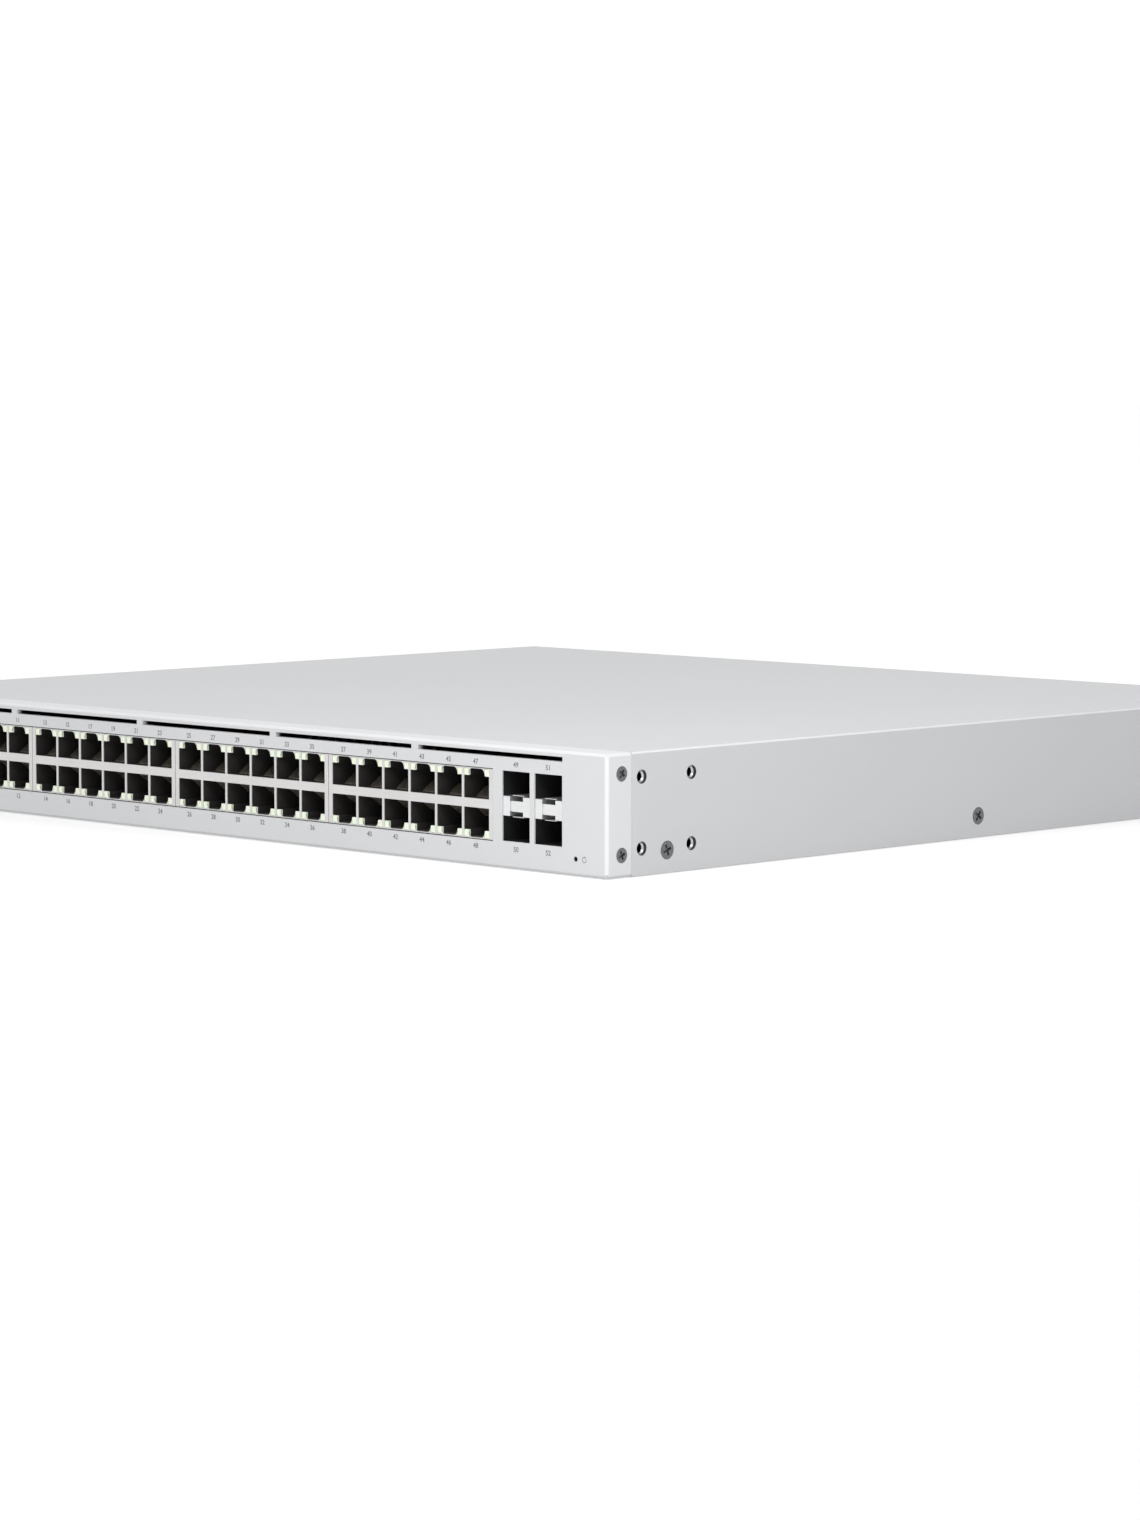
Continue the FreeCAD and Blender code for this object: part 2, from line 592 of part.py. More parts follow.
def make_reset():
    body = block(RESET_X - 3, RESET_X + 3, 7.6, 12.0, RESET_Z - 2.2, BOARD_TOP - BOARD_T)
    well = along_depth(RESET_X, RESET_Z, 7, 10.0, PLUNGER_R + 0.3)
    keep("reset_switch", body.cut(well))
    shank = along_depth(RESET_X, RESET_Z, 4.0, 9.3, PLUNGER_R)
    tip = edges_where(shank, lambda e: e.BoundBox.YMax < FRONT + 4.0 + 1e-3)
    keep("reset_plunger", shank.makeFillet(0.3, tip))


# Boards and what stands on them

def board(x0, x1, d0, d1, holes):
    plate = block(x0, x1, d0, d1, BOARD_TOP - BOARD_T, BOARD_TOP)
    tools = [upright(x, d, BOARD_TOP - BOARD_T - 1, 1.65, BOARD_T + 2) for x, d in holes]
    return without(plate, tools)


def finned(x, d, z, w, l, base, height, fins):
    """Heatsink with fins that run from front to back."""
    thick = w / (fins * 2.6)
    gap = (w - fins * thick) / (fins - 1)
    solids = [centred(x, d, z, w, l, base)]
    for i in range(fins):
        x0 = x - w / 2 + i * (thick + gap)
        solids.append(block(x0, x0 + thick, d - l / 2, d + l / 2, z, z + height))
    return fused(solids)


def capacitor(x, d, r, h):
    can = upright(x, d, BOARD_TOP, r, h)
    rim = edges_where(can, lambda e: e.BoundBox.ZMin > BOARD_TOP + h - 1e-3)
    return can.makeFillet(min(0.8, r / 5), rim)


def make_boards():
    keep("main_board", board(-BOARD_HALF_W, BOARD_HALF_W, *BOARD_DEPTHS, BOARD_HOLES))
    keep("power_board", board(*PSU_X, *PSU_DEPTHS, PSU_HOLES))
    for x, d in BOARD_HOLES + PSU_HOLES:
        stud = Part.makeCylinder(STUD_R, TRAY_T - 0.05, V(0, 0, 0.05 - TRAY_T))
        post = fused([hexagon(5.5, BOARD_TOP - BOARD_T - TRAY_T, 0), stud])
        post = without(post, [Part.makeCylinder(1.25, 10, V(0, 0, 1))])
        keep("standoffs", placed(post, x, d, TRAY_T, V(0, 0, 1)))
        keep("board_screws", placed(pan_screw(2.8, 1.7, 1.2, 5.5), x, d, BOARD_TOP, V(0, 0, 1)))
    keep("insulator_sheet", block(PSU_X[0] + 9, PSU_X[1] - 9, PSU_DEPTHS[0], PSU_DEPTHS[1], 3.0, 3.4))


def make_main_board_parts():
    chip_h, sink_z = 2.0, BOARD_TOP + 2.0
    keep("switch_chip", centred(0, 125, BOARD_TOP, 40, 40, chip_h))
    keep("switch_heatsink", finned(0, 125, sink_z, 74, 66, 3, 24, 15))
    for x in PHY_X:
        keep("phy_chips", centred(x, 68, BOARD_TOP, 19, 19, chip_h))
        keep("phy_heatsinks", finned(x, 68, sink_z, 26, 24, 2, 12, 7))
        keep("small_chips", centred(x, 88, BOARD_TOP, 9, 9, 1.0))
    keep("small_chips", centred(-105, 125, BOARD_TOP, 21, 21, 1.8))
    for d in (112.0, 128.0):
        keep("small_chips", centred(-135, d, BOARD_TOP, 13, 9, 1.1))
    for x in (105.0, 122.0, 139.0, 156.0):
        keep("small_capacitors", capacitor(x, 160, 6.25, 20))
    for x in (110.0, 135.0, 160.0):
        keep("board_inductors", centred(x, 130, BOARD_TOP, 14, 14, 7))


def make_power_parts():
    for x in (98.0, 156.0):
        keep("power_heatsinks", block(x, x + 4, 232, 348, BOARD_TOP, 38))
    for d in (232.0, 262.0):
        keep("bulk_capacitors", capacitor(185, d, 12.5, 28))
    for d in (222.0, 236.0, 250.0, 264.0):
        keep("small_capacitors", capacitor(84, d, 5, 22))
    core = fused([block(112, 146, 262, 272, BOARD_TOP, 36), block(112, 146, 296, 306, BOARD_TOP, 36),
                  block(124, 134, 262, 306, BOARD_TOP, 36)])
    keep("transformer_core", core)
    winding = block(113, 145, 273, 295, BOARD_TOP + 1, 35)
    keep("transformer_winding", winding.cut(block(123.9, 134.1, 270, 300, 5, 40)))
    choke = Part.makeTorus(8, 4, point(185, 318, BOARD_TOP + 12.2), V(1, 0, 0))
    keep("mains_choke", choke)


# Fans

def fan_screw_places():
    half = FAN_SCREW_SPACING / 2
    return [(x + a * half, FAN_Z + b * half) for x in FAN_X for a in (-1, 1) for b in (-1, 1)]


def fan_frame(x):
    d0, d1 = FAN_DEPTHS
    half = FAN_SIZE / 2
    outer = block(x - half, x + half, d0, d1, FAN_Z - half, FAN_Z + half)
    outer = outer.makeFillet(2.5, edges_where(outer, lambda e: runs_along(e, V(0, 1, 0))))
    duct = along_depth(x, FAN_Z, d0 - 1, d1 + 1, DUCT_R)
    spacing = FAN_SCREW_SPACING / 2
    corner_holes = [along_depth(x + a * spacing, FAN_Z + b * spacing, d0 - 1, d1 + 1, 2.1)
                    for a in (-1, 1) for b in (-1, 1)]
    ring = without(outer, [duct] + corner_holes)
    hub = along_depth(x, FAN_Z, d1 - 2.5, d1, HUB_R)
    arm = block(-1.1, 1.1, d1 - 2.5, d1, 0, DUCT_R + 0.4)
    arms = []
    for i in range(4):
        spoke = arm.copy()
        spoke.rotate(V(0, 0, 0), V(0, 1, 0), 45 + 90 * i)
        spoke.translate(V(x, 0, FAN_Z))
        arms.append(spoke)
    sleeve = along_depth(x, FAN_Z, d0 + 5, d1, 3.2)
    bore = along_depth(x, FAN_Z, d0 + 4, d1 - 1, SHAFT_R + SHAFT_GAP)
    return fused([ring, hub, sleeve] + arms).cut(bore)


def fan_blade(x, turn):
    mid = (FAN_DEPTHS[0] + FAN_DEPTHS[1]) / 2 - 2
    blade = Part.makeBox(10.4, 1.1, ROTOR_R + 2 - HUB_R, V(-5.2, -0.55, HUB_R - 1.0))
    blade.rotate(V(0, 0, 0), V(0, 0, 1), 38)
    blade.rotate(V(0, 0, 0), V(0, 1, 0), turn)
    blade.translate(V(x, FRONT + mid, FAN_Z))
    return blade


def fan_rotor(x):
    d0 = FAN_DEPTHS[0]
    cup = along_depth(x, FAN_Z, d0 + 1.5, d0 + 15.5, HUB_R)
    rim = edges_where(cup, lambda e: e.BoundBox.YMax < FRONT + d0 + 1.5 + 1e-3)
    cup = cup.makeFillet(1.0, rim)
    blades = [fan_blade(x, 360 / BLADES * i) for i in range(BLADES)]
    swept = fused([cup] + blades).common(along_depth(x, FAN_Z, d0, d0 + 18, ROTOR_R))
    hollow = swept.cut(along_depth(x, FAN_Z, d0 + 3.2, d0 + 16, 7.4))
    shaft = along_depth(x, FAN_Z, d0 + 2.5, d0 + 18, SHAFT_R)
    return fused([hollow, shaft])


def hexagon_grille(x):
    """Perforated guard plate over one fan."""
    half = FAN_SIZE / 2
    plate = block(x - half, x + half, REAR_FACE, REAR_FACE + 0.8, FAN_Z - half, FAN_Z + half)
    plate = plate.makeFillet(2.5, edges_where(plate, lambda e: runs_along(e, V(0, 1, 0))))
    flats, web = 3.6, 0.9
    pitch = flats + web
    row_step = pitch * math.sqrt(3) / 2
    hole = hexagon(flats, 4, -2)
    hole.rotate(V(0, 0, 0), V(0, 0, 1), 30)
    hole.rotate(V(0, 0, 0), V(1, 0, 0), 90)
    holes = []
    for j in range(-5, 6):
        for i in range(-5, 6):
            u, v = (i + (j % 2) / 2) * pitch, j * row_step
            if math.hypot(u, v) < DUCT_R - flats / 2 - 0.2:
                cutter = hole.copy()
                cutter.translate(point(x + u, REAR_FACE + 0.4, FAN_Z + v))
                holes.append(cutter)
    spacing = FAN_SCREW_SPACING / 2
    holes += [along_depth(x + a * spacing, FAN_Z + b * spacing, REAR_FACE - 1, REAR_FACE + 2, 2.1)
              for a in (-1, 1) for b in (-1, 1)]
    return without(plate, holes)


def make_fans():
    for k, x in enumerate(FAN_X):
        keep("fan_frame_%d" % (k + 1), fan_frame(x))
        keep("fan_rotor_%d" % (k + 1), fan_rotor(x))
        keep("fan_guards", hexagon_grille(x))
        stator = along_depth(x, FAN_Z, FAN_DEPTHS[0] + 6, FAN_DEPTHS[0] + 14, 6.6)
        bore = along_depth(x, FAN_Z, FAN_DEPTHS[0], FAN_DEPTHS[1], 3.25)
        keep("fan_stators", stator.cut(bore))
    for x, z in fan_screw_places():
        screw = pan_screw(3.2, 1.9, 1.9, 10)
        keep("fan_screws", placed(screw, x, REAR_FACE + 0.8, z, V(0, 1, 0)))


# Mains inlet and leads

def inlet_screw_x():
    return [INLET_X - INLET_SCREW_SPACING / 2, INLET_X + INLET_SCREW_SPACING / 2]


def inlet_cavity():
    """Socket outline with its two cut upper corners."""
    w, h = INLET_CAVITY[0] / 2, INLET_CAVITY[1] / 2
    cut = 5.0
    outline = [(-w, -h), (w, -h), (w, h - cut), (w - cut, h), (-w + cut, h), (-w, h - cut)]
    mouth = REAR_FACE + 2.6
    corners = [point(INLET_X + a, mouth - INLET_DEPTH, INLET_Z + b) for a, b in outline]
    return Part.Face(Part.makePolygon(corners + corners[:1])).extrude(V(0, INLET_DEPTH + 1, 0))


def make_inlet():
    w, h = INLET_BODY[0] / 2, INLET_BODY[1] / 2
    fw, fh = INLET_FLANGE[0] / 2, INLET_FLANGE[1] / 2
    mouth = REAR_FACE + 2.6
    flange = block(INLET_X - fw, INLET_X + fw, REAR_FACE, mouth, INLET_Z - fh, INLET_Z + fh)
    flange = flange.makeFillet(4.0, edges_where(flange, lambda e: runs_along(e, V(0, 1, 0))))
    body = block(INLET_X - w, INLET_X + w, INLET_BACK, mouth, INLET_Z - h, INLET_Z + h)
    shell = fused([flange, body])
    cuts = [inlet_cavity()]
    screw_hole = flat_screw_hole(2.9, 1.5, 8)
    cuts += [placed(screw_hole, x, mouth, INLET_Z, V(0, 1, 0)) for x in inlet_screw_x()]
    pin_places = [(-7, -2.0), (0, 2.0), (7, -2.0)]
    pins = []
    for dx, dz in pin_places:
        x, z = INLET_X + dx, INLET_Z + dz
        pins.append(block(x - 1, x + 1, INLET_BACK - 6, mouth - INLET_DEPTH + PIN_LENGTH,
                          z - 2, z + 2))
    cuts += pins
    keep("mains_inlet", without(shell, cuts))
    keep("inlet_pins", *pins)
    for x in inlet_screw_x():
        keep("rear_screws", placed(flat_screw(2.9, 1.5, 7), x, mouth, INLET_Z, V(0, 1, 0)))


def make_leads():
    for dx, dz in ((-7, -2.0), (0, 2.0), (7, -2.0)):
        x, z = INLET_X + dx, INLET_Z + dz
        route = [point(x, INLET_BACK - 6, z), point(x, 355, z), point(x, 355, BOARD_TOP)]
        keep("power_leads", bent_tube(route, 1.3, 5))
    for d in (186, 209):
        keep("board_headers", centred(90, d, BOARD_TOP, 22, 7, 9))
    for i in range(4):
        x = 82.5 + 5 * i
        humped = [(189.5, 14), (192.8, 14), (197.5, 19), (202.2, 14), (205.5, 14)]
        keep("power_leads", bent_tube([point(x, d, z) for d, z in humped], 1.2, 2.5))
    for x in FAN_X:
        lead_x = x + 14
        route = [point(lead_x, FAN_DEPTHS[0], 34), point(lead_x, 358, 34), point(lead_x, 340, 3.5),
                 point(lead_x, 210, 3.5), point(lead_x, 200, 13), point(lead_x, 188, 13)]
        keep("fan_leads", bent_tube(route, 1.1, 5))
        keep("board_headers", centred(lead_x, 185.5, BOARD_TOP, 8, 5, 6))


def write_nodes():
    os.makedirs("parts", exist_ok=True)
    for name, solids in nodes.items():
        shape = solids[0] if len(solids) == 1 else Part.makeCompound(solids)
        shape.exportStep("parts/%s.step" % name)


make_front_bezel()
make_top_cover()
make_base_tray()
make_inner_front()
make_rear_panel()
make_shell_fasteners()
make_jacks()
make_sfp()
make_display()
make_reset()
make_boards()
make_main_board_parts()
make_power_parts()
make_fans()
make_inlet()
make_leads()
write_nodes()
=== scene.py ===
import json
import math

import bpy
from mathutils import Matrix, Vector


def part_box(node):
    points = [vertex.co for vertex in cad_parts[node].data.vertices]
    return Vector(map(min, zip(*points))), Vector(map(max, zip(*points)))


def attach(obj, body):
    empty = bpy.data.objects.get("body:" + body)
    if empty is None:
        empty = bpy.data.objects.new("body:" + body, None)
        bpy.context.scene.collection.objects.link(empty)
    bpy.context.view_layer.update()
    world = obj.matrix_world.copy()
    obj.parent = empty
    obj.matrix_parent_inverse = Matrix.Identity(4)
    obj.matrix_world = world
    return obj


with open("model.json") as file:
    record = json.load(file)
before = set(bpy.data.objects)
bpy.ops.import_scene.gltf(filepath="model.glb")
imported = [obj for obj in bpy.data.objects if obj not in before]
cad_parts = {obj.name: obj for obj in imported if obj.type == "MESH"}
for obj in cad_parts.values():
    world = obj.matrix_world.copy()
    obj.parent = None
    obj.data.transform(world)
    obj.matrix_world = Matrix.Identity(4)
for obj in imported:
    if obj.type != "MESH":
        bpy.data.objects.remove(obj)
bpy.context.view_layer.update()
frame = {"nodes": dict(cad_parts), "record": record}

MM = 0.001
EDGE_SOFTNESS = 0.3 * MM                      # how far the paint rounds sharp edges
UNDERSIDE_SHADE = 0.78                        # painted shade: the coat's brightness on bends that face down
# painted shade in the walls of holes
HOLE_SHADE_COLOUR = (0.06, 0.06, 0.063)
# painted shade in the threads of the press nuts
THREAD_SHADE_COLOUR = (0.012, 0.012, 0.013)
EAR_MOUNT = next(m for m in frame["record"]["mounts"] if m["name"] == "right_ear_holes")
PINHOLE_REACH = 1.2 * MM
THREAD_REACH = 1.72 * MM
SHADE_DEPTH = 0.08 * MM                      # the walls of a hole get painted shade below this depth
GLASS_BORDER = 2.2 * MM                       # printed border of the display
nodes = frame["nodes"]
FACE_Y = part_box("front_bezel")[0][1]          # the bezel's front face
REAR_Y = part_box("rear_panel")[1][1]           # the rear panel's outer face
HALF_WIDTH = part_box("top_cover")[1][0]


# Node graphs

class Graph:
    """Short calls for building one material's node tree."""

    def __init__(self, tree):
        self.tree = tree
        tree.nodes.clear()

    def add(self, kind, inputs=None, **settings):
        node = self.tree.nodes.new(kind)
        for key, value in settings.items():
            setattr(node, key, value)
        for key, value in (inputs or {}).items():
            if isinstance(value, bpy.types.NodeSocket):
                self.tree.links.new(value, node.inputs[key])
            else:
                node.inputs[key].default_value = value
        return node

    def place(self, stretch=(1.0, 1.0, 1.0)):
        """Position on the object in metres, stretched per axis."""
        coords = self.add("ShaderNodeTexCoord")
        return self.add("ShaderNodeMapping", {"Vector": coords.outputs["Object"],
                                              "Scale": stretch}).outputs["Vector"]

    def noise(self, place, scale, detail=3.0, roughness=0.55):
        return self.add("ShaderNodeTexNoise", {"Vector": place, "Scale": scale, "Detail": detail,
                                               "Roughness": roughness}).outputs["Fac"]

    def remap(self, value, low, high, start=0.3, stop=0.7):
        return self.add("ShaderNodeMapRange", {"Value": value, "From Min": start, "From Max": stop,
                                               "To Min": low, "To Max": high}).outputs["Result"]

    def mix(self, factor, a, b, blend="MIX"):
        node = self.add("ShaderNodeMix", {"Factor": factor}, data_type="RGBA", blend_type=blend)
        for index, value in ((6, a), (7, b)):
            if isinstance(value, bpy.types.NodeSocket):
                self.tree.links.new(value, node.inputs[index])
            else:
                node.inputs[index].default_value = value
        return node.outputs[2]

    def maths(self, operation, a, b):
        node = self.add("ShaderNodeMath", operation=operation)
        for index, value in ((0, a), (1, b)):
            if isinstance(value, bpy.types.NodeSocket):
                self.tree.links.new(value, node.inputs[index])
            else:
                node.inputs[index].default_value = value
        return node.outputs[0]

    def bump(self, height, distance, strength=1.0, normal=None):
        inputs = {"Height": height, "Distance": distance, "Strength": strength}
        if normal is not None:
            inputs["Normal"] = normal
        return self.add("ShaderNodeBump", inputs).outputs["Normal"]

    def output(self, shader):
        self.add("ShaderNodeOutputMaterial", {"Surface": shader.outputs[0]})


def rgba(colour, factor=1.0):
    return tuple(min(1.0, c * factor) for c in colour) + (1.0,)


def surface(name, colour, roughness=0.45, metallic=0.0, variation=0.03, patch=18.0, grain=1500.0,
            grain_mm=0.01, stretch=(1, 1, 1), rough_spread=0.06, painted_shade=None,
            constants=None):
    """A finish with slow colour drift, fine grain in its relief and uneven roughness.

    The second-to-last argument, if given, is a function that makes the mask of places with painted
    shade.
    """
    material = bpy.data.materials.new(name)
    material.use_nodes = True
    g = Graph(material.node_tree)
    place = g.place()
    grain_place = g.place(stretch)
    drift = g.remap(g.noise(place, patch, 4.0), 0.0, 1.0)
    fine = g.noise(grain_place, grain, 3.0)
    base = g.mix(drift, rgba(colour, 1 - variation), rgba(colour, 1 + variation))
    speck = g.remap(fine, 0.97, 1.03, 0.35, 0.65)
    base = g.mix(1.0, base, speck, "MULTIPLY")
    if painted_shade:
        # painted shade on the masked places
        base = g.mix(painted_shade(g), base, rgba(THREAD_SHADE_COLOUR))
    rough = g.remap(fine, roughness - rough_spread, roughness + rough_spread)
    inputs = {"Base Color": base, "Roughness": rough, "Metallic": metallic,
              "Normal": g.bump(fine, grain_mm * MM, 0.6)}
    inputs.update(constants or {})
    g.output(g.add("ShaderNodeBsdfPrincipled", inputs))
    return material


def powder_coat(name, colour, roughness=0.42, edge_highlight=1.22, hole_shade_mask=None):
    """Satin powder coat: fine orange-peel relief, softened edges and a slow drift of colour.

    The fourth argument is the brightness of a painted highlight along the bends, and the fifth, if
    given, is a function that makes the mask of places given painted shade.
    """
    material = bpy.data.materials.new(name)
    material.use_nodes = True
    g = Graph(material.node_tree)
    place = g.place()
    drift = g.remap(g.noise(place, 9.0, 2.0), 0.0, 1.0)
    peel = g.noise(place, 900.0, 2.0, 0.4)
    grit = g.noise(place, 4200.0, 2.0)
    base = g.mix(drift, rgba(colour, 0.988), rgba(colour, 1.008))
    base = g.mix(1.0, base, g.remap(grit, 0.975, 1.02), "MULTIPLY")
    bend, underside = painted_bend_light(g)
    # painted highlight along the bends
    base = g.mix(bend, base, rgba(colour, edge_highlight))
    # painted shade on the bends that face down
    base = g.mix(underside, base, rgba(colour, UNDERSIDE_SHADE))
    if hole_shade_mask:
        # painted shade in the walls of holes
        base = g.mix(hole_shade_mask(g), base, rgba(HOLE_SHADE_COLOUR))
    soft = g.add("ShaderNodeBevel", {"Radius": EDGE_SOFTNESS}, samples=6).outputs["Normal"]
    normal = g.bump(grit, 0.006 * MM, 0.6, g.bump(peel, 0.02 * MM, 0.5, soft))
    g.output(g.add("ShaderNodeBsdfPrincipled", {
        "Base Color": base, "Roughness": g.remap(grit, roughness - 0.05, roughness + 0.07),
        "Normal": normal, "Specular IOR Level": 0.35}))
    return material


def painted_bend_light(g):
    """Masks of the bends, whose normals lie between two axes, and of those that face down.

    The bends get a painted highlight, and the bends underneath get painted shade.
    """
    normal = g.add("ShaderNodeNewGeometry").outputs["Normal"]
    split = g.add("ShaderNodeSeparateXYZ", {"Vector": normal})
    x, y, z = (g.maths("ABSOLUTE", split.outputs[axis], 0.0) for axis in "XYZ")
    pairs = [g.maths("MULTIPLY", a, b) for a, b in ((x, y), (y, z), (x, z))]
    strongest = g.maths("MAXIMUM", g.maths("MAXIMUM", pairs[0], pairs[1]), pairs[2])
    bend = g.remap(strongest, 0.0, 1.0, 0.12, 0.42)
    return bend, g.maths("MULTIPLY", bend, g.maths("LESS_THAN", split.outputs["Z"], -0.1))


def object_axes(g):
    """A point's place along X, Y and Z in the shared frame."""
    coords = g.add("ShaderNodeTexCoord")
    split = g.add("ShaderNodeSeparateXYZ", {"Vector": coords.outputs["Object"]})
    return [split.outputs[axis] for axis in "XYZ"]


def near_axis(g, off_a, off_b, reach):
    """Mask of the points whose two offsets from an axis are within reach."""
    squares = [g.maths("POWER", off, 2.0) for off in (off_a, off_b)]
    return g.maths("LESS_THAN", g.maths("ADD", *squares), reach * reach)


def near_ear_axes(g, reach):
    """Mask of the points within reach of the axis of any rack-ear hole."""
    _, y, z = object_axes(g)
    half = EAR_MOUNT["dims"]["spacing_x_mm"] / 2 * MM
    offs = [g.maths("ABSOLUTE", g.maths("SUBTRACT", place, centre), 0.0)
            for place, centre in ((y, EAR_MOUNT["pos_m"][1]), (z, EAR_MOUNT["pos_m"][2]))]
    return near_axis(g, *[g.maths("SUBTRACT", off, half) for off in offs], reach)


def ear_hole_shade(g):
    """Mask of the cut walls of the rack-ear holes, which get painted shade."""
    below_face = g.maths("LESS_THAN", g.maths("ABSOLUTE", object_axes(g)[0], 0.0),
                         HALF_WIDTH - SHADE_DEPTH)
    return g.maths("MULTIPLY", near_ear_axes(g, (EAR_MOUNT["dims"]["hole_r_mm"] + 0.1) * MM),
                   below_face)


def pinhole_shade(g):
    """Mask of the wall of the reset pinhole, which gets painted shade."""
    low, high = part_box("reset_plunger")
    x, y, z = object_axes(g)
    near = near_axis(g, g.maths("SUBTRACT", x, (low[0] + high[0]) / 2),
                     g.maths("SUBTRACT", z, (low[2] + high[2]) / 2), PINHOLE_REACH)
    return g.maths("MULTIPLY", near, g.maths("GREATER_THAN", y, FACE_Y + SHADE_DEPTH))


def nut_thread_shade(g):
    """Mask of the threads in the press nuts, which get painted shade."""
    return near_ear_axes(g, THREAD_REACH)


def light_guide(name):
    """Frosted clear plastic with a faint green-yellow tint and a faint painted glow."""
    material = bpy.data.materials.new(name)
    material.use_nodes = True
    g = Graph(material.node_tree)
    place = g.place()
    cloud = g.remap(g.noise(place, 420.0, 2.0), 0.0, 1.0)
    base = g.mix(cloud, (0.74, 0.80, 0.63, 1), (0.82, 0.86, 0.73, 1))
    g.output(g.add("ShaderNodeBsdfPrincipled", {
        "Base Color": base, "Roughness": g.remap(g.noise(place, 1500.0), 0.28, 0.45),
        "Subsurface Weight": 0.35, "Subsurface Scale": 0.001,
        # painted glow
        "Emission Color": base, "Emission Strength": 0.15,
        "Normal": g.bump(g.noise(place, 1500.0), 0.01 * MM, 0.5)}))
    return material


def display_glass(name):
    """Black printed glass: a printed border and a slightly greyer active area."""
    material = bpy.data.materials.new(name)
    material.use_nodes = True
    g = Graph(material.node_tree)
    low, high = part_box("display_glass")
    centre = [(a + b) / 2 for a, b in zip(low, high)]
    half = (high[0] - low[0]) / 2 - GLASS_BORDER
    x, _, z = object_axes(g)
    off_x = g.maths("ABSOLUTE", g.maths("SUBTRACT", x, centre[0]), 0.0)
    off_z = g.maths("ABSOLUTE", g.maths("SUBTRACT", z, centre[2]), 0.0)
    far = g.maths("MAXIMUM", off_x, off_z)
    inside = g.maths("LESS_THAN", far, half)
    smudge = g.noise(g.place(), 120.0, 4.0)
    base = g.mix(inside, (0.006, 0.006, 0.007, 1), (0.014, 0.015, 0.018, 1))
    g.output(g.add("ShaderNodeBsdfPrincipled", {
        "Base Color": base, "Roughness": g.remap(smudge, 0.04, 0.11),
        "Specular IOR Level": 0.5}))
    return material


def circuit_board(name, mask, track):
    """Solder mask over copper tracks, with small round pads."""
    material = bpy.data.materials.new(name)
    material.use_nodes = True
    g = Graph(material.node_tree)
    place = g.place()
    runs = g.add("ShaderNodeTexBrick", {
        "Vector": place, "Scale": 60.0, "Mortar Size": 0.02, "Brick Width": 1.7,
        "Row Height": 0.13, "Color1": (0, 0, 0, 1), "Color2": (0, 0, 0, 1), "Mortar": (1, 1, 1, 1)})
    dots = g.add("ShaderNodeTexVoronoi", {"Vector": place, "Scale": 260.0})
    pad = g.maths("LESS_THAN", dots.outputs["Distance"], 0.16)
    base = g.mix(runs.outputs["Color"], rgba(mask), rgba(track))
    base = g.mix(pad, base, (0.62, 0.60, 0.52, 1))
    height = g.maths("ADD", runs.outputs["Color"], pad)
    g.output(g.add("ShaderNodeBsdfPrincipled", {
        "Base Color": base, "Roughness": g.remap(g.noise(place, 700.0), 0.3, 0.42),
        "Metallic": g.remap(pad, 0.0, 0.7, 0.0, 1.0),
        "Normal": g.bump(height, 0.03 * MM, 0.5)}))
    return material


def striped(name, colour, stripe, axis, period, roughness=0.45, metallic=0.0, depth_mm=0.05):
    """Windings and extrusions: even ridges along one axis, with painted shade in the grooves."""
    material = bpy.data.materials.new(name)
    material.use_nodes = True
    g = Graph(material.node_tree)
    along = object_axes(g)["XYZ".index(axis)]
    wave = g.maths("SINE", g.maths("MULTIPLY", along, 2 * math.pi / period), 0.0)
    ridge = g.remap(wave, 0.0, 1.0, -1.0, 1.0)
    # painted shade in the grooves
    base = g.mix(ridge, rgba(stripe), rgba(colour))
    base = g.mix(1.0, base, g.remap(g.noise(g.place(), 300.0), 0.94, 1.04), "MULTIPLY")
    g.output(g.add("ShaderNodeBsdfPrincipled", {
        "Base Color": base, "Metallic": metallic,
        "Roughness": g.remap(g.noise(g.place(), 900.0), roughness - 0.06, roughness + 0.06),
        "Normal": g.bump(ridge, depth_mm * MM, 0.6)}))
    return material


